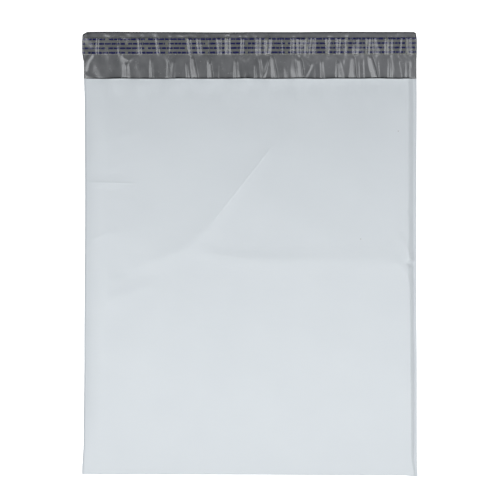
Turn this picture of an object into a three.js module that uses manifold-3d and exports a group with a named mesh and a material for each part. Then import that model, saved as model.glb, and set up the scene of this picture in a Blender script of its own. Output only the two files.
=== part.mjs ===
// Poly mailer bag lying flat on its back. Three pieces: the film, which is folded at the bottom
// and welded down both sides, the glue line on its lip, and the liner that covers the glue.
// Millimetres, +Z up, back panel on z = 0, lip towards +Y.

import * as THREE from 'three';
import { mergeVertices } from 'three/addons/utils/BufferGeometryUtils.js';
import Module from 'manifold-3d';

// Film
const bagWidth = 355; // over the side welds
const pocketDepth = 420; // bottom fold to the cut edge of the front panel
const lipLength = 50; // back panel left standing past the mouth
const filmThickness = 0.0625;
const weldWidth = 4;

// Air between the two panels
const loft = 6; // gap over the middle of the bag and in the mouth
const sideRise = 22; // from a weld to the full gap
const foldRise = 24; // from the bottom fold to the full gap

// Closure strip, both parts edge to edge across the lip
const glueThickness = 0.0625;
const glueWidth = 13;
const linerThickness = 0.0625;
const linerWidth = 19;
const linerInset = 5; // liner to the lip's free edge

// Colours and finishes
const filmLook = { color: 0xe3e8ec, roughness: 0.42, metalness: 0 };
const glueLook = { color: 0x9c9a86, roughness: 0.3, metalness: 0 };
const linerLook = { color: 0x70726e, roughness: 0.22, metalness: 0 };

const halfWidth = bagWidth / 2;
const halfLength = (pocketDepth + lipLength) / 2;
const mouthY = halfLength - lipLength;
const foldY = -halfLength;

const wasm = await Module();
wasm.setup();

// Closed slab over a net of stations: a segmented box whose upper and lower faces are moved to
// the heights asked for at each station.
function slabGeometry(stationsX, stationsY, topAt, bottomAt) {
  const nx = stationsX.length - 1;
  const ny = stationsY.length - 1;
  const geometry = new THREE.BoxGeometry(nx, ny, 1, nx, ny, 1);
  const position = geometry.attributes.position;
  for (let i = 0; i < position.count; i += 1) {
    const x = stationsX[Math.round(position.getX(i) + nx / 2)];
    const y = stationsY[Math.round(position.getY(i) + ny / 2)];
    const z = position.getZ(i) > 0 ? topAt(x, y) : bottomAt(x, y);
    position.setXYZ(i, x, y, z);
  }
  return geometry;
}

// The geometry as a solid. Where a slab runs out to an edge its wall has no height, and those
// flattened triangles are left out.
function toSolid(geometry) {
  geometry.deleteAttribute('normal');
  geometry.deleteAttribute('uv');
  const merged = mergeVertices(geometry, 1e-5);
  const triangles = [];
  for (let i = 0; i < merged.index.count; i += 3) {
    const a = merged.index.getX(i);
    const b = merged.index.getX(i + 1);
    const c = merged.index.getX(i + 2);
    if (a !== b && b !== c && c !== a) {
      triangles.push(a, b, c);
    }
  }
  const mesh = new wasm.Mesh({
    numProp: 3,
    vertProperties: merged.attributes.position.array,
    triVerts: new Uint32Array(triangles),
  });
  return new wasm.Manifold(mesh);
}

function toGeometry(solid) {
  const mesh = solid.getMesh();
  const geometry = new THREE.BufferGeometry();
  geometry.setAttribute('position', new THREE.BufferAttribute(mesh.vertProperties, 3));
  geometry.setIndex(new THREE.BufferAttribute(mesh.triVerts, 1));
  geometry.computeVertexNormals();
  return geometry;
}

function namedMesh(name, geometry, look) {
  const mesh = new THREE.Mesh(geometry, new THREE.MeshStandardMaterial(look));
  mesh.name = name;
  return mesh;
}

// Rises from 0 at an edge to 1 at the given distance, steepest at the edge.
function rise(distance, length) {
  const s = THREE.MathUtils.clamp(distance / length, 0, 1);
  return 1 - (1 - s) ** 2;
}

// Height of the air between the panels.
function airGap(x, y) {
  const fromWeld = halfWidth - weldWidth - Math.abs(x);
  const fromFold = y - (foldY + filmThickness);
  return loft * rise(fromWeld, sideRise) * rise(fromFold, foldRise);
}

// Stations across the bag, close together over the curved part next to each weld.
const weldInner = halfWidth - weldWidth;
const risingX = [0, 1.5, 3.5, 6, 9, 12.5, 17, sideRise].map((d) => weldInner - d);
const rightX = [...risingX, 120, 80, 40];
const innerX = [...rightX.map((x) => -x), 0, ...rightX.slice().reverse()];
const outerX = [-halfWidth, ...innerX, halfWidth];

// Stations along the bag, close together over the curved part next to the fold.
const foldInner = foldY + filmThickness;
const risingY = [0, 1.5, 3.5, 6, 9.5, 13.5, 18, foldRise].map((d) => foldInner + d);
const plainY = [-160, -100, -40, 20, 80, 135];
const outerY = [foldY, ...risingY, ...plainY, mouthY];
const innerY = [...risingY, ...plainY, mouthY + 2];

// Film: both panels as one solid body, the lip added, and the air inside taken out through the
// mouth.
const panels = toSolid(slabGeometry(
  outerX,
  outerY,
  (x, y) => airGap(x, y) + 2 * filmThickness,
  () => 0,
));
const backSheet = toSolid(slabGeometry(
  [-halfWidth, halfWidth],
  [foldY, halfLength],
  () => filmThickness,
  () => 0,
));
const air = toSolid(slabGeometry(
  innerX,
  innerY,
  (x, y) => airGap(x, y) + filmThickness,
  () => filmThickness,
));
const filmBody = panels.add(backSheet).subtract(air);

// Closure strip, laid flat on the lip.
const linerY = halfLength - linerInset - linerWidth / 2;

function stripMesh(name, width, thickness, bottom, look) {
  const mesh = namedMesh(name, new THREE.BoxGeometry(bagWidth, width, thickness), look);
  mesh.position.set(0, linerY, bottom + thickness / 2);
  return mesh;
}

const group = new THREE.Group();
group.add(namedMesh('bag_film', toGeometry(filmBody), filmLook));
group.add(stripMesh('adhesive_strip', glueWidth, glueThickness, filmThickness, glueLook));
group.add(stripMesh('release_liner', linerWidth, linerThickness,
  filmThickness + glueThickness, linerLook));

export default group;
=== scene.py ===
"""Poly mailer bag, lying flat on its back on a white studio floor, seen from straight above.

Lengths are in millimetres in the bag's frame (+X across, +Y towards the lip, +Z up) and become
metres when a mesh or an object is made.
"""

import math

import bpy
import numpy as np
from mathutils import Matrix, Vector


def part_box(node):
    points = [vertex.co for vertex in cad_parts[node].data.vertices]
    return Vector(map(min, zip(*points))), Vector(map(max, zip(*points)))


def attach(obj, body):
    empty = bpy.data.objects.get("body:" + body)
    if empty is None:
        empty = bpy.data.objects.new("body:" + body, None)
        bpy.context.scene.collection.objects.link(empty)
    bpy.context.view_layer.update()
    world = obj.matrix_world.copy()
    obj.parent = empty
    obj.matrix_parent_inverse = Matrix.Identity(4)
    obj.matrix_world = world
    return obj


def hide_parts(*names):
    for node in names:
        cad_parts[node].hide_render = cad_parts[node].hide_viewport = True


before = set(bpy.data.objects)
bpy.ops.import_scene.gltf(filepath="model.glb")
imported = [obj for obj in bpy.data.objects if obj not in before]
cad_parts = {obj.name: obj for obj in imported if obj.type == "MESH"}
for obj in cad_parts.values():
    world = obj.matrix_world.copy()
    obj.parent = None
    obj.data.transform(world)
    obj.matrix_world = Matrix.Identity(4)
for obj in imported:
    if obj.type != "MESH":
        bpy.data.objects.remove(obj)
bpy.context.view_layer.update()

MM = 0.001

# ---------------------------------------------------------------- sizes, from the frame

film_lo, film_hi = (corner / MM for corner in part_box("bag_film"))
glue_lo, glue_hi = (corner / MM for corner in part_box("adhesive_strip"))
liner_lo, liner_hi = (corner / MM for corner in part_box("release_liner"))

HALF_WIDTH = film_hi.x
FOLD_Y = film_lo.y
LIP_EDGE_Y = film_hi.y
LIP_LENGTH = 50.0
MOUTH_Y = LIP_EDGE_Y - LIP_LENGTH
FILM = 0.0625
LOFT = 5.8  # from the back panel up to the front one in the middle of the bag
PANEL_GAP = 3 * FILM  # least height of one panel's outer face over the other's

# ---------------------------------------------------------------- camera

VIEW_WIDTH = 533.0  # what the camera takes in across the bag
VIEW_CENTRE = (0.5, 3.2)
CAMERA_HEIGHT = 3000.0
CLIP_END = 20000.0
SENSOR = 36.0


def make_camera():
    data = bpy.data.cameras.new("camera")
    data.sensor_width = SENSOR
    data.lens = SENSOR * CAMERA_HEIGHT / VIEW_WIDTH
    data.clip_end = CLIP_END * MM
    camera = bpy.data.objects.new("camera", data)
    camera.location = (VIEW_CENTRE[0] * MM, VIEW_CENTRE[1] * MM, CAMERA_HEIGHT * MM)
    bpy.context.scene.collection.objects.link(camera)
    bpy.context.scene.camera = camera


make_camera()

# ---------------------------------------------------------------- small helpers


def lerp(a, b, t):
    return a + (b - a) * t


def smooth(t):
    t = np.clip(t, 0, 1)
    return t * t * (3 - 2 * t)


def rise(distance, length):
    """0 at an edge, 1 from the given distance on, steepest at the edge."""
    s = np.clip(distance / length, 0, 1)
    return 1 - (1 - s) ** 2


CREST_ROUNDING = 0.08
FOOT_ROUNDING = 0.004


def ridge(t, lean=0.0):
    """1 at lean, falling straight to 0 at -1 and 1, with the crest and the feet rounded."""
    up = (1 + t) / (1 + lean)
    down = (1 - t) / (1 - lean)
    lower = 0.5 * (up + down - np.sqrt((up - down) ** 2 + CREST_ROUNDING))
    return 0.5 * (lower + np.sqrt(lower * lower + FOOT_ROUNDING))


def through(y, stations):
    """Smooth value at y through a short list of (y, value) stations."""
    y = np.asarray(y, float)
    result = np.full(y.shape, float(stations[0][1]))
    for (y0, v0), (y1, v1) in zip(stations, stations[1:]):
        result = np.where(y >= y0, lerp(v0, v1, smooth((y - y0) / (y1 - y0))), result)
    return result


class Waves:
    """Smooth seeded noise: a sum of plane waves around one wavelength."""

    SHORTEST, LONGEST = 0.6, 1.7  # shares of that wavelength

    def __init__(self, seed, wavelength, count=14, stretch=(1.0, 1.0)):
        rng = np.random.default_rng(seed)
        angle = rng.uniform(0, 2 * np.pi, count)
        length = wavelength * rng.uniform(self.SHORTEST, self.LONGEST, count)
        self.kx = 2 * np.pi * np.cos(angle) / length / stretch[0]
        self.ky = 2 * np.pi * np.sin(angle) / length / stretch[1]
        self.phase = rng.uniform(0, 2 * np.pi, count)

    def __call__(self, x, y):
        total = np.zeros(np.broadcast(x, y).shape)
        for kx, ky, phase in zip(self.kx, self.ky, self.phase):
            total = total + np.sin(kx * x + ky * y + phase)
        return total / math.sqrt(len(self.kx) / 2)


class Crease:
    """A soft ridge along a given line, with its own width on each side of the crest.

    Height, left and right are (share of the line's length, value) stations, and blunt is how far
    the crest is rounded.
    """

    FALL = 1.3  # 1 is a straight fall at the crest, 2 a round bell

    def __init__(self, points, height, left, right, blunt=0.8):
        self.points = [np.array(p, float) for p in points]
        self.height = height
        self.left = left
        self.right = right
        self.blunt = blunt

    def __call__(self, x, y):
        best = np.full(np.broadcast(x, y).shape, np.inf)
        side = np.zeros(best.shape)
        along = np.zeros(best.shape)
        lengths = [np.linalg.norm(b - a) for a, b in zip(self.points, self.points[1:])]
        run = 0.0
        for a, b, length in zip(self.points, self.points[1:], lengths):
            tx, ty = (b - a) / length
            t = np.clip((x - a[0]) * tx + (y - a[1]) * ty, 0, length)
            dx = x - a[0] - t * tx
            dy = y - a[1] - t * ty
            distance = np.hypot(dx, dy)
            nearer = distance < best
            best = np.where(nearer, distance, best)
            side = np.where(nearer, tx * dy - ty * dx, side)
            along = np.where(nearer, (run + t) / sum(lengths), along)
            run += length
        width = np.where(side > 0, through(along, self.left), through(along, self.right))
        crest = np.sqrt(best ** 2 + self.blunt ** 2) - self.blunt
        return through(along, self.height) * np.exp(-((crest / width) ** self.FALL))


# ---------------------------------------------------------------- outline of the bag

# How far each side stands in from the full width, by y: the lofted pocket draws its sides in,
# and the stiff liner holds the lip out.
LEFT_INSET = [(-235, -0.9), (-200, 0.7), (-110, 1.5), (60, 2.3), (160, 1.9), (190, 1.1), (204, 0.8),
              (208, -0.1), (214, -0.8), (224, -1.2), (231, -0.6), (235, 0.6)]
RIGHT_INSET = [(-235, -1.6), (-225, -0.9), (-130, -0.8), (-60, -0.4), (90, -0.35), (160, -0.6),
               (205, -0.4), (214, -0.7), (226, -0.8), (235, 0.1)]


def left_edge(y):
    return -HALF_WIDTH + through(y, LEFT_INSET)


def right_edge(y):
    return HALF_WIDTH - through(y, RIGHT_INSET)


# The bottom fold runs down a little towards the right corner: (drop, where it starts, its run)
FOLD_DROPS = [(0.3, -140, 60), (1.0, -60, 240), (1.0, 165, 12)]
FOLD_OUT = 0.8  # and all of it stands out this far

MOUTH_OUT, MOUTH_BOW, MOUTH_WAVE = 0.5, 0.3, 0.14
LIP_OUT, LIP_WAVE = 0.4, 0.2
LEFT_CORNER = (2.2, 5.0)  # how much each corner of the lip is cut back, and over what width
RIGHT_CORNER = (1.0, 3.0)

mouth_wave = Waves(11, 38, stretch=(1, 50))
lip_wave = Waves(12, 120, stretch=(1, 50))


def fold_y(x):
    drops = [drop * smooth((x - start) / run) for drop, start, run in FOLD_DROPS]
    return FOLD_Y - FOLD_OUT - sum(drops)


def mouth_y(x):
    bow = MOUTH_BOW * (x / HALF_WIDTH) ** 2
    return MOUTH_Y + MOUTH_OUT + bow + MOUTH_WAVE * mouth_wave(x, 0 * x)


def lip_edge_y(x):
    left = LEFT_CORNER[0] * (1 - smooth((x + HALF_WIDTH) / LEFT_CORNER[1]))
    right = RIGHT_CORNER[0] * (1 - smooth((HALF_WIDTH - x) / RIGHT_CORNER[1]))
    return LIP_EDGE_Y + LIP_OUT + LIP_WAVE * lip_wave(x, 0 * x) - left - right


# ---------------------------------------------------------------- folds in the lip

# Slope of the flanks of a fold of strength 1. It turns a lit side of the studio to the camera.
LIT_SLOPE = 0.32

# Tents that open from the glue line down to the mouth. A lean of 0 gives two lit flanks with a
# dark crest between them, and a larger one gives a single broad flank and a steep one:
# (x at the top, x at the mouth, y of the top, half width at the mouth, lean, strength)
TENTS = [
    (-131.5, -131.3, 203.5, 4.4, 0.1, 1.0),
    (-104.3, -104.0, 207.5, 2.8, 0.0, 1.0),
    (-87.0, -86.7, 202.0, 1.7, 0.3, 1.0),
    (-80.0, -82.0, 206.0, 3.5, 0.0, 0.3),
    (-67.0, -65.5, 203.0, 1.8, -0.3, 0.8),
    (-61.0, -57.8, 211.0, 4.1, 0.35, 1.1),
    (-42.8, -41.6, 205.0, 3.1, 0.7, 1.0),
    (-32.0, -31.5, 203.0, 2.5, 0.0, 0.4),
    (-14.5, -13.8, 207.0, 3.8, 0.0, 1.1),
    (5.5, 6.5, 202.0, 1.5, 0.3, 0.8),
    (10.0, 13.5, 209.0, 2.3, 0.5, 0.8),
    (22.0, 15.0, 210.0, 1.9, -0.5, 0.8),
    (24.0, 27.7, 211.0, 4.2, 0.25, 1.15),
    (35.5, 36.0, 200.0, 3.0, 0.0, 0.35),
    (46.0, 48.0, 212.0, 4.0, 0.6, 0.55),
    (53.0, 55.0, 209.0, 4.6, 0.6, 0.75),
    (68.8, 69.0, 199.0, 1.4, 0.0, 0.7),
    (76.8, 77.4, 205.5, 2.7, 0.0, 1.1),
    (92.5, 92.7, 203.0, 1.6, 0.0, 0.9),
    (95.0, 97.0, 206.0, 4.4, -0.6, 0.9),
    (109.5, 110.0, 211.0, 4.6, 0.6, 0.8),
    (116.0, 116.2, 206.0, 1.5, 0.0, 0.8),
    (120.0, 120.0, 207.0, 2.7, 0.4, 0.45),
    (127.5, 134.0, 212.0, 4.4, 0.6, 1.0),
    (136.3, 138.3, 205.0, 1.5, 0.0, 0.9),
    (149.0, 149.4, 212.0, 3.2, 0.0, 1.05),
    (158.0, 159.5, 208.0, 3.8, 0.3, 0.45),
    (165.5, 165.0, 206.0, 3.0, 0.0, 0.4),
    (170.0, 170.3, 199.0, 2.0, 0.0, 0.9),
]

# Upright puckers that the glue line pinches into the film: (x, half width, slant, strength)
PUCKERS = [
    (-162.0, 2.2, 0.05, 0.8), (-139.0, 1.9, -0.05, 0.7), (-117.0, 2.2, -0.12, 0.9),
    (-98.0, 1.9, -0.16, 1.0), (-84.0, 1.6, 0.05, 0.5), (-63.5, 2.4, -0.1, 0.9),
    (-54.0, 2.4, -0.14, 1.0), (-43.0, 1.6, 0.0, 0.5), (-32.5, 2.8, -0.06, 1.2),
    (-23.0, 3.0, 0.0, 1.2), (-8.0, 1.9, 0.03, 1.0), (1.0, 1.6, 0.0, 0.5),
    (9.0, 2.8, 0.0, 1.1), (19.5, 4.2, 0.05, 1.0), (33.5, 1.9, -0.05, 0.7),
    (45.5, 2.2, 0.04, 1.0), (53.0, 3.2, -0.03, 1.0), (58.0, 2.6, 0.05, 0.9), (63.5, 1.9, 0.08, 0.9),
    (68.5, 1.8, 0.0, 1.1), (83.0, 2.4, 0.0, 1.0), (94.5, 2.6, 0.04, 1.1),
    (101.0, 1.9, -0.04, 0.8), (113.0, 3.4, 0.03, 1.0), (126.0, 3.2, 0.06, 0.9),
    (133.0, 2.6, -0.08, 0.9), (146.0, 2.4, -0.02, 1.1), (150.5, 2.1, 0.0, 0.9),
    (160.0, 1.9, 0.1, 0.6), (170.0, 3.2, -0.04, 0.9),
]

TENT_TOP = 0.6  # a tent's width at its top, as a share of its width at the mouth
TENT_END = 1.25  # it runs on under the front panel, by a quarter of its length
TENT_RISE = 1 / 6  # share of its length over which it rises to full height
PUCKER_REACH = 1.5  # how far the puckers run past each edge of the liner
PUCKER_FADE = 4.0

lip_warp = Waves(22, 9, stretch=(1, 3))
lip_swell = Waves(21, 26, stretch=(0.6, 1.3))
lip_flutter = Waves(23, 7, stretch=(1, 2))
hem_wrinkle = Waves(24, 7, stretch=(2.6, 0.8))


def union(*heights):
    """The highest of several heights, with the joins between them rounded."""
    return sum(np.maximum(height, 0) ** 4 for height in heights) ** 0.25


def fold_height(half, strength, lean=0.0):
    """Height of a fold whose longer flank has the lit slope at strength 1."""
    return strength * LIT_SLOPE * half * (1 + abs(lean))


def tents(x, y):
    heights = []
    for x_top, x_mouth, y_top, half, lean, strength in TENTS:
        along = np.clip((y_top - y) / (y_top - MOUTH_Y), 0, TENT_END)
        centre = lerp(x_top, x_mouth, along)
        width = half * lerp(TENT_TOP, 1, along)
        height = fold_height(width, strength, lean) * smooth(along / TENT_RISE)
        heights.append(height * ridge((x - centre) / width, lean))
    return union(*heights)


def puckers(x, y):
    middle = (liner_lo.y + liner_hi.y) / 2
    reach = (liner_hi.y - liner_lo.y) / 2 + PUCKER_REACH
    envelope = smooth((reach - np.abs(y - middle)) / PUCKER_FADE)
    heights = []
    for centre, half, slant, strength in PUCKERS:
        offset = x - centre - slant * (y - middle)
        heights.append(fold_height(half, strength) * ridge(offset / half))
    return union(*heights) * envelope


def lip_creases():
    """Short creases of the lip along given lines, each with its height along it."""
    sharp = dict(left=[(0, 1.3), (1, 1.3)], right=[(0, 1.3), (1, 1.3)], blunt=0.4)
    broad = dict(left=[(0, 2.4), (1, 2.4)], right=[(0, 2.4), (1, 2.4)], blunt=0.5)
    lines = [
        # from the liner to the left edge, and the turned-up corner by the mouth
        ([(-169, 211), (-173, 205), (-176, 196)], [(0, 1.5), (1, 1.5)], broad),
        ([(-175, 191), (-167, 187)], [(0, 0.6), (1, 0.4)], sharp),
        # short smiles under the liner where two folds meet
        ([(-134, 208.5), (-128.8, 205.4), (-121.5, 210)], [(0, 0.3), (0.5, 0.7), (1, 0.3)], sharp),
        ([(-9, 208), (-4, 206), (-0.5, 209)], [(0, 0.2), (0.5, 0.4), (1, 0.2)], sharp),
        ([(77, 209.5), (84, 208.5), (89, 210)], [(0, 0.1), (0.5, 0.4), (1, 0.2)], sharp),
        # slanting lines among the folds on the right
        ([(46, 211), (55, 202), (57, 194)], [(0, 0.6), (0.6, 0.6), (1, 0)], sharp),
        ([(54, 210.5), (65.5, 200.5), (59, 187)], [(0, 0.5), (0.5, 0.6), (1, 0.5)], sharp),
        ([(89, 211), (99, 204.5), (101, 198)], [(0, 0.5), (0.5, 0.5), (1, 0)], sharp),
        ([(160, 210), (170, 203), (171, 196)], [(0, 0.4), (0.5, 0.4), (1, 0)], sharp),
        # across the hem above the liner
        ([(-161, 229.5), (-151, 232.4), (-127, 232.0)], [(0, 0), (0.4, 0.6), (1, 0.2)], sharp),
        ([(-90, 230), (-79, 232.2), (-61, 232.4)], [(0, 0), (0.4, 0.6), (1, 0.2)], sharp),
        ([(-21, 233), (-3, 230)], [(0, 0.6), (1, 0.3)], sharp),
        ([(72, 233), (91, 230.5)], [(0, 0.6), (1, 0.3)], sharp),
        ([(108, 229.5), (116, 232)], [(0, 0.6), (1, 0.3)], sharp),
    ]
    return [Crease(points, height, **shape) for points, height, shape in lines]


LIP_CREASES = lip_creases()

LIP_LIFT = 0.75  # how far the lip stands off the floor between its folds
LIP_SWELL, LIP_FLUTTER, LIP_WARP = 0.18, 0.03, 0.15
HEM_WRINKLE = 0.15
HEM_FADE = 2.0  # below the liner's upper edge
EDGE_FALL = (1.5, 1.6)  # width over which the lip comes down at its sides and at its free edge
TRENCH = 0.35  # share of its height that the lip keeps where the front panel's edge lies on it
TRENCH_START, TRENCH_WIDTH = 0.1, 1.3
LIP_END = 26.0  # the folds run this far under the front panel, and fade out over most of that
LIP_END_FADE = 22.0
FLOOR_GAP = 0.02


def lip_height(x, y):
    """Outer (lower) face of the lip above the floor."""
    x = x + LIP_WARP * lip_warp(x, y)
    inside = smooth((y - (MOUTH_Y - LIP_END)) / LIP_END_FADE)
    from_side = np.minimum(x - left_edge(y), right_edge(y) - x)
    edge = smooth(from_side / EDGE_FALL[0]) * smooth((lip_edge_y(x) - y) / EDGE_FALL[1])
    swell = LIP_SWELL * np.clip(lip_swell(x, y), -2, 2) + LIP_FLUTTER * lip_flutter(x, y)
    trench = lerp(TRENCH, 1.0, smooth((y - mouth_y(x) - TRENCH_START) / TRENCH_WIDTH))
    hem = HEM_WRINKLE * smooth((y - liner_hi.y + HEM_FADE) / HEM_FADE) * hem_wrinkle(x, y)
    creases = [crease(x, y) for crease in LIP_CREASES]
    folds = union(tents(x, y), puckers(x, y), *creases)
    height = edge * trench * np.maximum(LIP_LIFT + swell + hem + folds, 0)
    return inside * (FLOOR_GAP + height)


# ---------------------------------------------------------------- the pocket

LEFT_START, LEFT_RISE = 1.0, 26.0  # where the loft starts in from the left side, and its run
ROLL_SHARE = 0.84  # part of the loft that the steep roll down the right side climbs
ROLL_START = 1.8
BESIDE_ROLL, BESIDE_ROLL_RISE = 8.0, 50.0  # the rest of the climb, past the roll
# Width of the roll, by y. It narrows to a pinch where the fold across the middle meets it.
ROLL_WIDTH = [(-235, 2.5), (-215, 5.0), (-60, 6.0), (-35, 6.5), (-26, 8.6), (-16, 7.2), (-11, 11.0),
              (-7, 5.4), (-4, 7.4), (38, 8.0), (44, 9.2), (50, 8.0), (185, 8.4)]


def side_share(x, y):
    """Share of the full loft that the sides allow, 0 on the welds."""
    from_left = x - left_edge(y)
    from_right = right_edge(y) - x
    left = rise(from_left - LEFT_START, LEFT_RISE)
    roll = smooth((from_right - ROLL_START) / through(y, ROLL_WIDTH))
    beside = rise(from_right - BESIDE_ROLL, BESIDE_ROLL_RISE)
    return left * (ROLL_SHARE * roll + (1 - ROLL_SHARE) * beside)


FOLD_SHARE, FOLD_RISE = 0.34, 110.0  # share of the loft at the bottom fold, and its run to all
MOUTH_SHARE = 0.65  # share of it left at the mouth, where the panel comes down on the lip
MOUTH_SHARE_RIGHT = 0.9  # and at its right end
MOUTH_FALL = (110.0, 75.0)  # y where the panel starts down to the mouth, and its run
RIGHT_END = (115.0, 50.0)  # x where the mouth starts up to its right end, and its run


def air(x, y):
    """Height of the front panel's outer face over the back panel's, without its creases."""
    bottom = lerp(FOLD_SHARE, 1.0, rise(y - fold_y(x), FOLD_RISE))
    to_right = smooth((x - RIGHT_END[0]) / RIGHT_END[1])
    to_mouth = smooth((y - MOUTH_FALL[0]) / MOUTH_FALL[1])
    mouth = lerp(1.0, lerp(MOUTH_SHARE, MOUTH_SHARE_RIGHT, to_right), to_mouth)
    return PANEL_GAP + (LOFT - PANEL_GAP) * side_share(x, y) * bottom * mouth


WRINKLE = dict(height=[(0, 0), (0.4, 0.55), (1, 0)], left=[(0, 4), (1, 6)], right=[(0, 4), (1, 6)])

# Lines run down or to the right; "left" and "right" are the widths on those sides of travel.
CREASES = [
    # long diagonal, sharp at its upper end and a broad soft valley at its lower end
    Crease([(26, 116), (8, 94), (-10, 73), (-31, 43), (-47, 24), (-67, 6), (-90, -4), (-138, -22)],
           height=[(0, 0.1), (0.08, 0.8), (0.35, 1.3), (0.6, 1.7), (0.8, 1.4), (0.92, 0.9), (1, 0)],
           left=[(0, 6), (0.4, 9), (0.6, 14), (1, 20)],
           right=[(0, 5), (0.35, 9), (0.6, 13), (1, 14)], blunt=0.5),
    # soft folds below it, one parallel to it and one down towards the bottom
    Crease([(-90, -25), (-112, -36), (-140, -46), (-168, -60)],
           height=[(0, 0), (0.3, 1.0), (0.7, 0.9), (1, 0)],
           left=[(0, 8), (1, 10)],
           right=[(0, 7), (1, 9)]),
    Crease([(-80, -14), (-92, -48), (-104, -96), (-110, -135)],
           height=[(0, 0), (0.3, 1.2), (0.7, 0.9), (1, 0)],
           left=[(0, 10), (1, 16)],
           right=[(0, 9), (1, 13)]),
    # the bag was folded in half once
    Crease([(-62, -4), (-48, 1.5), (-30, -2.5), (-10, -6), (20, -7.5), (90, -7.5), (172, -8)],
           height=[(0, 0), (0.1, 0.8), (0.4, 0.85), (0.9, 0.75), (1, 0.4)],
           left=[(0, 5), (1, 9)],
           right=[(0, 8), (1, 13)], blunt=3.0),
    # short tucks at the left weld
    Crease([(-172, 75.5), (-150, 75), (-116, 74)],
           height=[(0, 0.9), (0.5, 0.7), (1, 0)],
           left=[(0, 2.4), (1, 5)],
           right=[(0, 3.0), (1, 6)], blunt=0.4),
    Crease([(-172, 13), (-150, 21), (-124, 24)],
           height=[(0, 0.5), (0.5, 0.4), (1, 0)],
           left=[(0, 3), (1, 5)],
           right=[(0, 3), (1, 5)], blunt=0.6),
    Crease([(-172, 112), (-158, 119), (-140, 128)],
           height=[(0, 0.3), (0.5, 0.3), (1, 0)],
           left=[(0, 4), (1, 7)],
           right=[(0, 4), (1, 7)]),
    Crease([(-160, 52), (-140, 57), (-118, 55)],
           height=[(0, 0), (0.5, 0.3), (1, 0)],
           left=[(0, 4), (1, 6)],
           right=[(0, 4), (1, 6)]),
    Crease([(-171, -84), (-146, -85)],
           height=[(0, 0.5), (1, 0)],
           left=[(0, 4), (1, 6)],
           right=[(0, 4), (1, 6)]),
    Crease([(-160, -174), (-148, -182)],
           height=[(0, 0.25), (1, 0)],
           left=[(0, 3), (1, 4)],
           right=[(0, 3), (1, 4)]),
    # shallow wrinkles that fan out from the left weld
    Crease([(-161, 80), (-132, 99), (-112, 104)], **WRINKLE),
    Crease([(-154, 96), (-135, 110), (-117, 120)], **WRINKLE),
    Crease([(-147, 118), (-128, 127), (-107, 133)], **WRINKLE),
    Crease([(-158, -30), (-134, -28), (-118, -33)], **WRINKLE),
    # two tucks in the right side where the fold ends
    Crease([(154, 24), (164, 12), (172, -4)],
           height=[(0, 0), (0.4, 0.9), (1, 1.5)],
           left=[(0, 3.5), (1, 3)],
           right=[(0, 5), (1, 4)], blunt=0.5),
    Crease([(152, -4), (163, -15), (172, -26)],
           height=[(0, 0), (0.4, 0.8), (1, 1.5)],
           left=[(0, 3.5), (1, 3)],
           right=[(0, 5), (1, 4)], blunt=0.5),
]

BACK_SWELL = 0.12
back_swell = Waves(41, 55)


def back_height(x, y):
    """Outer face of the back panel above the floor: it touches down in places."""
    return BACK_SWELL * np.clip(back_swell(x, y), 0, 2) * np.clip(side_share(x, y), 0, 1)


PANEL_SWELL, PANEL_TEXTURE = 0.16, 0.02
RIPPLE = 0.38  # of the mouth's edge
RIPPLE_REACH = (30.0, 60.0)  # how far in it starts, and the run over which it grows
CURL, CURL_RIPPLE = 0.35, 0.2  # the cut edge turns up
CURL_WIDTH = 1.6
HOLD = 20.0  # the bottom fold holds the panel smooth over this distance

panel_swell = Waves(31, 85)
panel_texture = Waves(32, 26)
mouth_ripple = Waves(33, 20, stretch=(1, 1.4))


def front_height(x, y):
    """Outer face of the front panel above the floor."""
    share = side_share(x, y)
    base = air(x, y)
    held = np.clip(share, 0, 1) * rise(y - fold_y(x), HOLD)
    creases = sum(crease(x, y) for crease in CREASES)
    swell = PANEL_SWELL * panel_swell(x, y) + PANEL_TEXTURE * panel_texture(x, y)
    near_mouth = rise(y - (MOUTH_Y - RIPPLE_REACH[0]), RIPPLE_REACH[1])
    ripple = RIPPLE * near_mouth * mouth_ripple(x, y)
    turned_up = smooth((y - mouth_y(x) + CURL_WIDTH) / CURL_WIDTH)
    curl = (CURL + CURL_RIPPLE * mouth_ripple(x, y)) * turned_up
    under = np.maximum(lip_height(x, y), back_height(x, y)) + PANEL_GAP
    return np.maximum(base + held * (creases + swell + ripple) + share * curl, under)


# ---------------------------------------------------------------- the film as one mesh

FINE = 560  # columns across the lip; each halving is a row of three-triangle cells
HEM_BAND, MOUTH_BAND = 1.6, 2.4  # denser rows this far in from the lip's free edge and the mouth
# The back panel's rows: below the mouth, with fewer columns each time, then evenly over the
# middle, then above the bottom fold
BELOW_MOUTH = [(FINE, 8), (FINE // 2, 18), (FINE // 4, 26), (FINE // 8, 34)]
BACK_TOP, BACK_BOTTOM, BACK_ROWS = MOUTH_Y - 44, FOLD_Y + 26, 38
ABOVE_FOLD = (16, 9, 4)
FOLD_STEPS = 8  # rows round the bottom fold
FRONT_ROWS = 138
UNDER_FRONT = 27.0  # the back panel takes the lip's shape this far in from the mouth


def spaced(count, density):
    """count + 1 numbers from 0 to 1, closer together where density(t) is high."""
    t = np.linspace(0, 1, 4001)
    weight = np.cumsum(density(t))
    weight = (weight - weight[0]) / (weight[-1] - weight[0])
    return np.interp(np.linspace(0, 1, count + 1), weight, t)


def across_density(t):
    """Closer together at the left weld, and most of all on the roll at the right."""
    return 1 + 0.8 * (1 - smooth(t / 0.03)) + 2.0 * smooth((t - 0.95) / 0.02)


ACROSS = spaced(FINE, across_density)


def column_x(columns, y):
    u = ACROSS[:: FINE // columns]
    return lerp(left_edge(y), right_edge(y), u)


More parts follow.
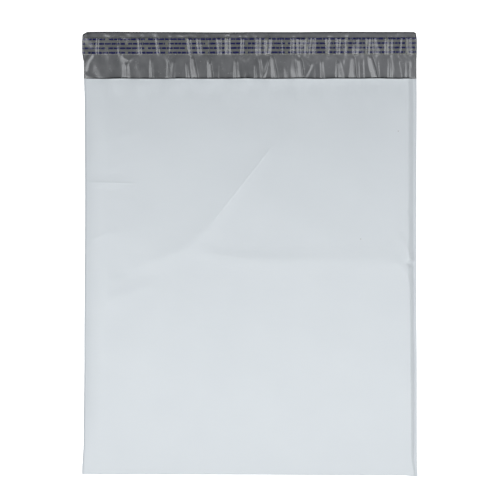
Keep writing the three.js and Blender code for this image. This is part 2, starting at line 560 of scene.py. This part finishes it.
def film_rows():
    """Rows of points of the film's outer face, from the lip's free edge round to the mouth."""
    rows = []

    def back_row(columns, y_of):
        x = column_x(columns, np.full(columns + 1, y_of(0.0)))
        y = y_of(x)
        x = column_x(columns, y)
        lip = lip_height(x, y)
        z = np.where(y > MOUTH_Y - UNDER_FRONT, lip, back_height(x, y))
        rows.append(np.stack([x, y, z], axis=1))

    for y in lip_stations():
        back_row(FINE, lambda x, y=y: lerp(y, y + lip_edge_y(x) - LIP_EDGE_Y,
                                           smooth((y - liner_hi.y) / (LIP_EDGE_Y - liner_hi.y))))
    for columns, below in BELOW_MOUTH:
        back_row(columns, lambda x, y=MOUTH_Y - below: y + 0 * x)
    for y in np.linspace(BACK_TOP, BACK_BOTTOM, BACK_ROWS):
        back_row(FINE // 8, lambda x, y=y: y + 0 * x)
    for above in ABOVE_FOLD:
        # the nearer the fold, the more of its run down to the right the row takes
        share = 1 - above / ABOVE_FOLD[0]
        back_row(FINE // 4, lambda x, y=FOLD_Y + above, s=share: y + (fold_y(x) - FOLD_Y) * s)

    # round the fold: half a turn whose radius is half the gap there
    columns = FINE // 4
    x = column_x(columns, np.full(columns + 1, FOLD_Y))
    radius = air(x, fold_y(x)) / 2
    for turn in np.linspace(0, math.pi, FOLD_STEPS):
        y = fold_y(x) + radius * (1 - math.sin(turn))
        z = radius * (1 - math.cos(turn))
        rows.append(np.stack([x, y, z], axis=1))

    # front panel, from the fold up to the mouth
    start = fold_y(x) + radius
    end = mouth_y(x)
    for t in spaced(FRONT_ROWS, front_density)[1:]:
        y = lerp(start, end, t)
        x_row = column_x(columns, y)
        rows.append(np.stack([x_row, y, front_height(x_row, y)], axis=1))
    return rows


def front_density(t):
    """Closer together at the bottom fold, on the fold across the middle and at the mouth."""
    bottom = 1.2 * (1 - smooth(t / 0.05))
    middle = 1.4 * np.exp(-((t - 0.545) / 0.03) ** 2)
    mouth = 6 * smooth((t - 0.98) / 0.01)
    return 1 + bottom + middle + mouth


def lip_stations():
    """Rows of the lip, with one on each edge of the liner and the glue."""
    hem, mouth = LIP_EDGE_Y - HEM_BAND, MOUTH_Y + MOUTH_BAND
    bands = [(LIP_EDGE_Y, hem, 4), (hem, liner_hi.y, 3),
             (liner_hi.y, glue_hi.y, 3), (glue_hi.y, glue_lo.y, 8),
             (glue_lo.y, liner_lo.y, 3), (liner_lo.y, mouth, 16), (mouth, MOUTH_Y, 4)]
    stations = [LIP_EDGE_Y]
    for top, bottom, steps in bands:
        stations.extend(np.linspace(top, bottom, steps + 1)[1:])
    return stations


def resample(row, count):
    """A row's points at another number of columns, by the shared column places."""
    here = ACROSS[:: FINE // (len(row) - 1)]
    there = ACROSS[:: FINE // count]
    return np.stack([np.interp(there, here, row[:, k]) for k in range(3)], axis=1)


def inner_rows(rows):
    """The film's other face: every point moved one film thickness towards the pocket."""
    inner = []
    for i, row in enumerate(rows):
        columns = len(row) - 1
        before = resample(rows[max(i - 1, 0)], columns)
        after = resample(rows[min(i + 1, len(rows) - 1)], columns)
        normal = np.cross(np.gradient(row, axis=0), after - before)
        normal /= np.linalg.norm(normal, axis=1, keepdims=True)
        inner.append(row - FILM * normal)
    return inner


def row_faces(upper, lower, flip):
    """Triangles and quads between two rows of vertex indices, one perhaps twice as fine."""
    faces = []
    a, b = len(upper) - 1, len(lower) - 1
    if a == b:
        for i in range(a):
            faces.append((upper[i], lower[i], lower[i + 1], upper[i + 1]))
    elif a == 2 * b:
        for i in range(b):
            faces.append((upper[2 * i], lower[i], upper[2 * i + 1]))
            faces.append((upper[2 * i + 1], lower[i], lower[i + 1]))
            faces.append((upper[2 * i + 1], lower[i + 1], upper[2 * i + 2]))
    else:
        for i in range(a):
            faces.append((upper[i], lower[2 * i], lower[2 * i + 1]))
            faces.append((upper[i], lower[2 * i + 1], upper[i + 1]))
            faces.append((upper[i + 1], lower[2 * i + 1], lower[2 * i + 2]))
    # turned over about their first corner, so that both faces of the film split alike
    return [face[:1] + face[:0:-1] for face in faces] if flip else faces


def build_sheet(name, outer, inner, materials):
    """Closed mesh from two faces of rows. Slot 0 goes on the outer face and the rim, 1 inside.

    Each point keeps two distances in millimetres for the materials: from_edge, from the nearest
    side or from the lip's free edge, and from_mouth, from the line of the mouth.
    """
    points = np.concatenate(outer + inner)
    starts = np.cumsum([0] + [len(row) for row in outer + inner])
    index = [list(range(starts[i], starts[i + 1])) for i in range(len(outer + inner))]
    out_index, in_index = index[: len(outer)], index[len(outer):]

    faces, slots, flat = [], [], []

    def add(new, slot, rim=False):
        faces.extend(new)
        slots.extend([slot] * len(new))
        flat.extend([rim] * len(new))

    for i in range(len(outer) - 1):
        add(row_faces(out_index[i], out_index[i + 1], True), 0)
        add(row_faces(in_index[i], in_index[i + 1], False), 1)
    add(row_faces(out_index[0], in_index[0], False), 0, rim=True)
    add(row_faces(out_index[-1], in_index[-1], True), 0, rim=True)
    for i in range(len(outer) - 1):
        a, b, c, d = out_index[i], out_index[i + 1], in_index[i], in_index[i + 1]
        add([(a[0], b[0], d[0], c[0])], 0, rim=True)
        add([(a[-1], c[-1], d[-1], b[-1])], 0, rim=True)

    mesh = bpy.data.meshes.new(name)
    mesh.from_pydata([tuple(p * MM) for p in points], [], faces)
    for material in materials:
        mesh.materials.append(material)
    mesh.polygons.foreach_set("material_index", slots)
    mesh.polygons.foreach_set("use_smooth", [not f for f in flat])
    x, y = points[:, 0], points[:, 1]
    from_edge = np.minimum(np.minimum(x - left_edge(y), right_edge(y) - x), lip_edge_y(x) - y)
    mesh.attributes.new("from_edge", "FLOAT", "POINT").data.foreach_set("value", from_edge)
    from_mouth = np.abs(y - mouth_y(x))
    mesh.attributes.new("from_mouth", "FLOAT", "POINT").data.foreach_set("value", from_mouth)
    mesh.update()
    piece = bpy.data.objects.new(name, mesh)
    bpy.context.scene.collection.objects.link(piece)
    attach(piece, "root")
    return piece


# ---------------------------------------------------------------- materials


def new_material(name):
    material = bpy.data.materials.new(name)
    material.use_nodes = True
    nodes = material.node_tree.nodes
    return material, nodes, material.node_tree.links, nodes["Principled BSDF"]


NOISE_LOW, NOISE_HIGH = 0.3, 0.7  # most values of the noise lie between these


def object_noise(nodes, links, scale, detail, stretch=(1, 1, 1)):
    """Noise over the object's own coordinates; scale is in features per metre."""
    coordinates = nodes.new("ShaderNodeTexCoord")
    mapping = nodes.new("ShaderNodeMapping")
    mapping.inputs["Scale"].default_value = [scale / s for s in stretch]
    noise = nodes.new("ShaderNodeTexNoise")
    noise.inputs["Scale"].default_value = 1.0
    noise.inputs["Detail"].default_value = detail
    links.new(coordinates.outputs["Object"], mapping.inputs["Vector"])
    links.new(mapping.outputs["Vector"], noise.inputs["Vector"])
    return noise.outputs["Fac"]


def ramp_between(nodes, links, value, low, high):
    """Colour from low to high as the noise goes from its low values to its high ones."""
    ramp = nodes.new("ShaderNodeValToRGB")
    ramp.color_ramp.elements[0].position = NOISE_LOW
    ramp.color_ramp.elements[1].position = NOISE_HIGH
    ramp.color_ramp.elements[0].color = (*low, 1)
    ramp.color_ramp.elements[1].color = (*high, 1)
    links.new(value, ramp.inputs["Fac"])
    return ramp.outputs["Color"]


def spread(nodes, links, value, low, high):
    """Number from low to high in the same way."""
    node = nodes.new("ShaderNodeMapRange")
    node.inputs["From Min"].default_value = NOISE_LOW
    node.inputs["From Max"].default_value = NOISE_HIGH
    node.inputs["To Min"].default_value = low
    node.inputs["To Max"].default_value = high
    links.new(value, node.inputs["Value"])
    return node.outputs["Result"]


def bumps(nodes, links, shader, layers):
    """Chains bump nodes: each layer is (height socket, distance in mm)."""
    normal = None
    for height, distance in layers:
        node = nodes.new("ShaderNodeBump")
        node.inputs["Distance"].default_value = distance * MM
        links.new(height, node.inputs["Height"])
        if normal is not None:
            links.new(normal, node.inputs["Normal"])
        normal = node.outputs["Normal"]
    links.new(normal, shader.inputs["Normal"])


def arithmetic(nodes, links, operation, *values):
    """One maths node; each value is a number or another node's output."""
    node = nodes.new("ShaderNodeMath")
    node.operation = operation
    for socket, value in zip(node.inputs, values):
        if isinstance(value, (int, float)):
            socket.default_value = value
        else:
            links.new(value, socket)
    return node.outputs["Value"]


def object_axes(nodes, links):
    """The object's own x and y in millimetres."""
    coordinates = nodes.new("ShaderNodeTexCoord")
    split = nodes.new("ShaderNodeSeparateXYZ")
    links.new(coordinates.outputs["Object"], split.inputs["Vector"])
    x = arithmetic(nodes, links, "DIVIDE", split.outputs["X"], MM)
    y = arithmetic(nodes, links, "DIVIDE", split.outputs["Y"], MM)
    return x, y


def blend(nodes, links, share, first, second):
    """Colour between two others, each a colour socket or a plain colour."""
    node = nodes.new("ShaderNodeMix")
    node.data_type = "RGBA"
    links.new(share, node.inputs["Factor"])
    # the node's sockets 6 and 7 are its two colours, and its output 2 is the colour between them
    for socket, value in ((node.inputs[6], first), (node.inputs[7], second)):
        if isinstance(value, tuple):
            socket.default_value = (*value, 1)
        else:
            links.new(value, socket)
    return node.outputs[2]


def distance_from(nodes, line):
    """One of the distances that the mesh's points keep, from_edge or from_mouth."""
    attribute = nodes.new("ShaderNodeAttribute")
    attribute.attribute_name = line
    return attribute.outputs["Fac"]


def fading(nodes, links, distance, full, gone):
    """1 up to the first distance, falling to 0 at the second."""
    node = nodes.new("ShaderNodeMapRange")
    node.inputs["From Min"].default_value = full
    node.inputs["From Max"].default_value = gone
    node.inputs["To Min"].default_value = 1
    node.inputs["To Max"].default_value = 0
    links.new(distance, node.inputs["Value"])
    return node.outputs["Result"]


def distance_to_point(nodes, links, place):
    """Distance in millimetres over the floor from the given place."""
    x, y = object_axes(nodes, links)
    dx = arithmetic(nodes, links, "SUBTRACT", x, place[0])
    dy = arithmetic(nodes, links, "SUBTRACT", y, place[1])
    square = arithmetic(nodes, links, "MULTIPLY", dy, dy)
    square = arithmetic(nodes, links, "MULTIPLY_ADD", dx, dx, square)
    return arithmetic(nodes, links, "SQRT", square)


def dots(nodes, links, places, radius):
    """1 inside small round spots at the given places in millimetres."""
    total = 0.0
    for place in places:
        distance = distance_to_point(nodes, links, place)
        inside = arithmetic(nodes, links, "LESS_THAN", distance, radius)
        total = arithmetic(nodes, links, "ADD", total, inside)
    return total


SPECKS = [(158.3, 129.7), (118.3, 14.9)]  # two specks of dust on the front panel
SPECK_RADIUS = 0.6
WELD_LINE = 1.5  # middle of the hot bar's line, in from the side
WELD_LINE_HALF = 0.6
WELD_RIBS = 2.4  # width of the ribbed band the hot bar leaves


def weld_masks(nodes, links):
    """(1 on the hot bar's line, 1 on the ribbed band around it)"""
    distance = distance_from(nodes, "from_edge")
    off_line = arithmetic(nodes, links, "SUBTRACT", distance, WELD_LINE)
    off_line = arithmetic(nodes, links, "ABSOLUTE", off_line)
    line = arithmetic(nodes, links, "LESS_THAN", off_line, WELD_LINE_HALF)
    ribs = arithmetic(nodes, links, "LESS_THAN", distance, WELD_RIBS)
    return line, ribs


CRISP_FADE = 12.0  # at both ends of each crisp line
# Crisp lines along the crests of the larger creases: (start, end, half width, height)
CRISP_LINES = [
    ((26, 116), (-40, 32), 2.0, 0.26),
    ((-46, 0), (8, -7), 2.4, 0.08),
    ((-173, 75.5), (-118, 74), 1.6, 0.24),
    ((-173, 13), (-152, 20.5), 1.6, 0.14),
]


def crisp_line(nodes, links, start, end, half):
    """1 on the line from start to end, falling straight to 0 on both sides and at the ends."""
    x, y = object_axes(nodes, links)
    length = math.dist(start, end)
    tx, ty = (end[0] - start[0]) / length, (end[1] - start[1]) / length
    dx = arithmetic(nodes, links, "SUBTRACT", x, start[0])
    dy = arithmetic(nodes, links, "SUBTRACT", y, start[1])
    along = arithmetic(nodes, links, "MULTIPLY", dy, ty)
    along = arithmetic(nodes, links, "MULTIPLY_ADD", dx, tx, along)
    off = arithmetic(nodes, links, "MULTIPLY", dy, tx)
    off = arithmetic(nodes, links, "MULTIPLY_ADD", dx, -ty, off)
    off = arithmetic(nodes, links, "ABSOLUTE", off)
    across = arithmetic(nodes, links, "MULTIPLY_ADD", off, -1 / half, 1.0)
    across = arithmetic(nodes, links, "MAXIMUM", across, 0.0)
    to_end = arithmetic(nodes, links, "SUBTRACT", length, along)
    ends = arithmetic(nodes, links, "MINIMUM", along, to_end)
    ends = arithmetic(nodes, links, "DIVIDE", ends, CRISP_FADE)
    ends = arithmetic(nodes, links, "MINIMUM", ends, 1.0)
    ends = arithmetic(nodes, links, "MAXIMUM", ends, 0.0)
    return arithmetic(nodes, links, "MULTIPLY", across, ends)


def white_film():
    material, nodes, links, shader = new_material("white_film")
    mottle = object_noise(nodes, links, 22, 3)
    film = ramp_between(nodes, links, mottle, (0.588, 0.624, 0.652), (0.600, 0.636, 0.663))
    line, ribs = weld_masks(nodes, links)
    welded = blend(nodes, links, line, film, (0.53, 0.565, 0.60))
    specks = dots(nodes, links, SPECKS, SPECK_RADIUS)
    links.new(blend(nodes, links, specks, welded, (0.42, 0.42, 0.42)), shader.inputs["Base Color"])
    haze = object_noise(nodes, links, 140, 3)
    links.new(spread(nodes, links, haze, 0.36, 0.46), shader.inputs["Roughness"])
    shader.inputs["Specular IOR Level"].default_value = 0.35
    grain = object_noise(nodes, links, 1500, 2)
    die_lines = object_noise(nodes, links, 420, 1, stretch=(1, 60, 1))
    wrinkles = object_noise(nodes, links, 120, 3, stretch=(3, 1, 1))
    rib = object_noise(nodes, links, 1300, 0, stretch=(60, 1, 60))
    rib = arithmetic(nodes, links, "MULTIPLY", rib, ribs)
    crests = [(crisp_line(nodes, links, start, end, half), height)
              for start, end, half, height in CRISP_LINES]
    surface = [(wrinkles, 0.18), (die_lines, 0.010), (grain, 0.006), (rib, 0.08)]
    bumps(nodes, links, shader, crests + surface)
    return material


# Painted shade on the grey film: it is darkened along its edges, in its upper left corner, which is
# bent down, and as a painted shadow where it goes under the front panel. Each is (full to, gone at)
# in millimetres.
EDGE_SHADE_PAINTED = (0.9, 1.5)
CORNER_SHADE_PAINTED = (3.0, 10.0)
MOUTH_SHADE_PAINTED = (0.7, 2.0)
# Painted sheen: the film is made paler towards the right, where it catches more light: by all of
# its share right of the first x, and by none of it left of the second.
SHEEN_RIGHT_PAINTED = (90.0, 10.0)
SHEEN_SHARE_PAINTED = 0.45


def grey_film():
    material, nodes, links, shader = new_material("grey_film")
    mottle = object_noise(nodes, links, 60, 3)
    film = ramp_between(nodes, links, mottle, (0.097, 0.100, 0.105), (0.143, 0.146, 0.152))
    along, _ = object_axes(nodes, links)
    painted_sheen = fading(nodes, links, along, *SHEEN_RIGHT_PAINTED)
    painted_sheen = arithmetic(nodes, links, "MULTIPLY", painted_sheen, SHEEN_SHARE_PAINTED)
    # painted sheen: a paler base colour towards the right
    film = blend(nodes, links, painted_sheen, film, (0.177, 0.180, 0.189))
    corner = (-HALF_WIDTH, LIP_EDGE_Y)
    edge_shade = fading(nodes, links, distance_from(nodes, "from_edge"), *EDGE_SHADE_PAINTED)
    corner_shade = fading(nodes, links, distance_to_point(nodes, links, corner), *CORNER_SHADE_PAINTED)
    mouth_shade = fading(nodes, links, distance_from(nodes, "from_mouth"), *MOUTH_SHADE_PAINTED)
    dark = arithmetic(nodes, links, "MAXIMUM", edge_shade, mouth_shade)
    dark = arithmetic(nodes, links, "MAXIMUM", dark, corner_shade)
    # painted shade: the base colour goes towards near-black along the edges, in the bent-down
    # corner and under the mouth
    links.new(blend(nodes, links, dark, film, (0.030, 0.031, 0.034)), shader.inputs["Base Color"])
    haze = object_noise(nodes, links, 180, 2)
    links.new(spread(nodes, links, haze, 0.20, 0.28), shader.inputs["Roughness"])
    shader.inputs["Specular IOR Level"].default_value = 1.0
    grain = object_noise(nodes, links, 900, 2)
    bumps(nodes, links, shader, [(grain, 0.008)])
    return material


def glue():
    material, nodes, links, shader = new_material("glue")
    streaks = object_noise(nodes, links, 90, 3, stretch=(6, 1, 1))
    links.new(ramp_between(nodes, links, streaks, (0.16, 0.165, 0.15), (0.21, 0.215, 0.195)),
              shader.inputs["Base Color"])
    shader.inputs["Alpha"].default_value = 0.4
    shader.inputs["Roughness"].default_value = 0.35
    bumps(nodes, links, shader, [(streaks, 0.01)])
    return material


# Print on the liner: rows of plain dark blue dashes in blocks, with no lettering
PRINT_TOP_ROW = 228.1
PRINT_ROW_PITCH = 4.78
PRINT_TILT = 0.0028  # the rows climb a little to the right
PRINT_HALF_HEIGHT = 1.0
PRINT_HALF_SHARES = (0.85, 1.15)  # of that, from the lowest stroke to the highest
PRINT_BLOCK = 42.6
PRINT_BLOCK_START = -24.5
PRINT_BLOCK_GAP = 3.2
PRINT_DASH = 6.0
PRINT_DASH_GAP = 0.6
PRINT_STROKE = 1.2
CLEAR_ALPHA, INK_ALPHA = 0.82, 0.97


def cells(nodes, links, place, size, feature):
    """Output of a one-way cell pattern whose cells are about the given size in millimetres."""
    node = nodes.new("ShaderNodeTexVoronoi")
    node.voronoi_dimensions = "1D"
    node.feature = feature
    node.inputs["Scale"].default_value = 1 / size
    links.new(place, node.inputs["W"])
    return node.outputs["Distance" if feature == "DISTANCE_TO_EDGE" else "Color"]


def print_mask(nodes, links):
    """1 on the dashes of the print, 0 between them."""
    x, y = object_axes(nodes, links)
    down = arithmetic(nodes, links, "MULTIPLY_ADD", x, PRINT_TILT, PRINT_TOP_ROW)
    down = arithmetic(nodes, links, "SUBTRACT", down, y)
    place = arithmetic(nodes, links, "DIVIDE", down, PRINT_ROW_PITCH)
    row = arithmetic(nodes, links, "ROUND", place)
    off_row = arithmetic(nodes, links, "SUBTRACT", place, row)
    off_row = arithmetic(nodes, links, "ABSOLUTE", off_row)
    off_row = arithmetic(nodes, links, "MULTIPLY", off_row, PRINT_ROW_PITCH)

    # blocks, each row half a block along from the one above it
    along = arithmetic(nodes, links, "SUBTRACT", x, PRINT_BLOCK_START)
    along = arithmetic(nodes, links, "DIVIDE", along, PRINT_BLOCK)
    shift = arithmetic(nodes, links, "MULTIPLY", row, 0.5)
    shifted = arithmetic(nodes, links, "ADD", along, shift)
    block = arithmetic(nodes, links, "PINGPONG", shifted, 0.5)
    in_block = arithmetic(nodes, links, "GREATER_THAN", block, PRINT_BLOCK_GAP / 2 / PRINT_BLOCK)

    # dashes of uneven length, and strokes of uneven height in them; each row has its own stretch
    # of the pattern, a metre from the next one's
    own_x = arithmetic(nodes, links, "MULTIPLY_ADD", row, 1 / MM, x)
    edge = cells(nodes, links, own_x, PRINT_DASH, "DISTANCE_TO_EDGE")
    in_dash = arithmetic(nodes, links, "GREATER_THAN", edge, PRINT_DASH_GAP / 2 / PRINT_DASH)
    stroke = cells(nodes, links, own_x, PRINT_STROKE, "F1")
    low, high = (share * PRINT_HALF_HEIGHT for share in PRINT_HALF_SHARES)
    half = arithmetic(nodes, links, "MULTIPLY_ADD", stroke, high - low, low)
    in_row = arithmetic(nodes, links, "LESS_THAN", off_row, half)
    inked = arithmetic(nodes, links, "MULTIPLY", in_block, in_dash)
    return arithmetic(nodes, links, "MULTIPLY", in_row, inked)


def liner():
    material, nodes, links, shader = new_material("liner")
    tint = object_noise(nodes, links, 80, 3)
    clear = ramp_between(nodes, links, tint, (0.139, 0.145, 0.137), (0.171, 0.177, 0.167))
    ink = print_mask(nodes, links)
    links.new(blend(nodes, links, ink, clear, (0.007, 0.008, 0.075)), shader.inputs["Base Color"])
    solid = arithmetic(nodes, links, "MULTIPLY_ADD", ink, INK_ALPHA - CLEAR_ALPHA, CLEAR_ALPHA)
    links.new(solid, shader.inputs["Alpha"])
    shader.inputs["Roughness"].default_value = 0.2
    shader.inputs["Specular IOR Level"].default_value = 1.0
    crumple = object_noise(nodes, links, 260, 2)
    bumps(nodes, links, shader, [(crumple, 0.010)])
    return material


def floor_material():
    material, nodes, links, shader = new_material("floor")
    mottle = object_noise(nodes, links, 3, 2)
    links.new(ramp_between(nodes, links, mottle, (0.86, 0.86, 0.86), (0.88, 0.88, 0.88)),
              shader.inputs["Base Color"])
    shader.inputs["Roughness"].default_value = 0.9
    shader.inputs["Specular IOR Level"].default_value = 0.1
    shader.inputs["Emission Color"].default_value = (1, 1, 1, 1)
    shader.inputs["Emission Strength"].default_value = 0.45
    return material


# ---------------------------------------------------------------- pieces


def make_film():
    outer = film_rows()
    inner = inner_rows(outer)
    film = build_sheet("film", outer, inner, [white_film(), grey_film()])
    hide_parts("bag_film")


STRIP_THICKNESS = 0.05  # a little under the real thickness, so that the strips' faces stay apart
GLUE_LIFT, LINER_LIFT = 0.01, 0.07  # how far each strip lies over the film
ROW_TOLERANCE = 0.01


def make_strip(name, node, low, high, lift, material):
    """A strip that lies on the lip and follows its puckers, between two of the lip's rows."""
    outer, inner = [], []
    for station in lip_stations():
        if low.y - ROW_TOLERANCE < station < high.y + ROW_TOLERANCE:
            y = np.full(FINE + 1, station)
            x = column_x(FINE, y)
            z = lip_height(x, y) + FILM + lift
            outer.append(np.stack([x, y, z], axis=1))
            inner.append(np.stack([x, y, z + STRIP_THICKNESS], axis=1))
    strip = build_sheet(name, outer, inner, [material, material])
    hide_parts(node)


FLOOR_HALF = 6000.0
FLOOR_DROP = 0.05  # below the bag, so that the two faces never share a plane


def make_floor():
    mesh = bpy.data.meshes.new("floor")
    half = FLOOR_HALF * MM
    corners = [(-half, -half, 0), (half, -half, 0), (half, half, 0), (-half, half, 0)]
    mesh.from_pydata(corners, [], [(0, 1, 2, 3)])
    mesh.materials.append(floor_material())
    floor = bpy.data.objects.new("floor", mesh)
    floor.location.z = -FLOOR_DROP * MM
    bpy.context.scene.collection.objects.link(floor)


# ---------------------------------------------------------------- light


def area_light(name, place, size, watts, tint):
    """A rectangular light aimed at the middle of the bag, with places and sizes in metres.

    The second side of it is level.
    """
    data = bpy.data.lights.new(name, "AREA")
    data.shape = "RECTANGLE"
    data.size, data.size_y = size
    data.energy = watts
    data.color = tint
    light = bpy.data.objects.new(name, data)
    light.location = place
    light.rotation_euler = Vector(place).to_track_quat("Z", "X").to_euler()
    light.visible_camera = False
    bpy.context.scene.collection.objects.link(light)


COOL = (0.98, 1.0, 1.02)
WARM = (1.03, 1.0, 0.965)


def make_lights():
    area_light("left_bank", (-0.80, -0.25, 1.38), (1.0, 1.6), 13.8, COOL)
    area_light("right_bank", (0.80, -0.25, 1.38), (1.0, 1.6), 14.1, COOL)
    area_light("low_box", (0.0, -0.20, 0.50), (0.35, 0.9), 1.25, WARM)
    world = bpy.data.worlds.new("studio")
    world.use_nodes = True
    world.node_tree.nodes["Background"].inputs["Color"].default_value = (0.96, 0.99, 1.03, 1)
    world.node_tree.nodes["Background"].inputs["Strength"].default_value = 0.05
    bpy.context.scene.world = world
    bpy.context.scene.view_settings.view_transform = "Standard"


make_film()
make_strip("glue_line", "adhesive_strip", glue_lo, glue_hi, GLUE_LIFT, glue())
make_strip("liner_strip", "release_liner", liner_lo, liner_hi, LINER_LIFT, liner())
make_floor()
make_lights()
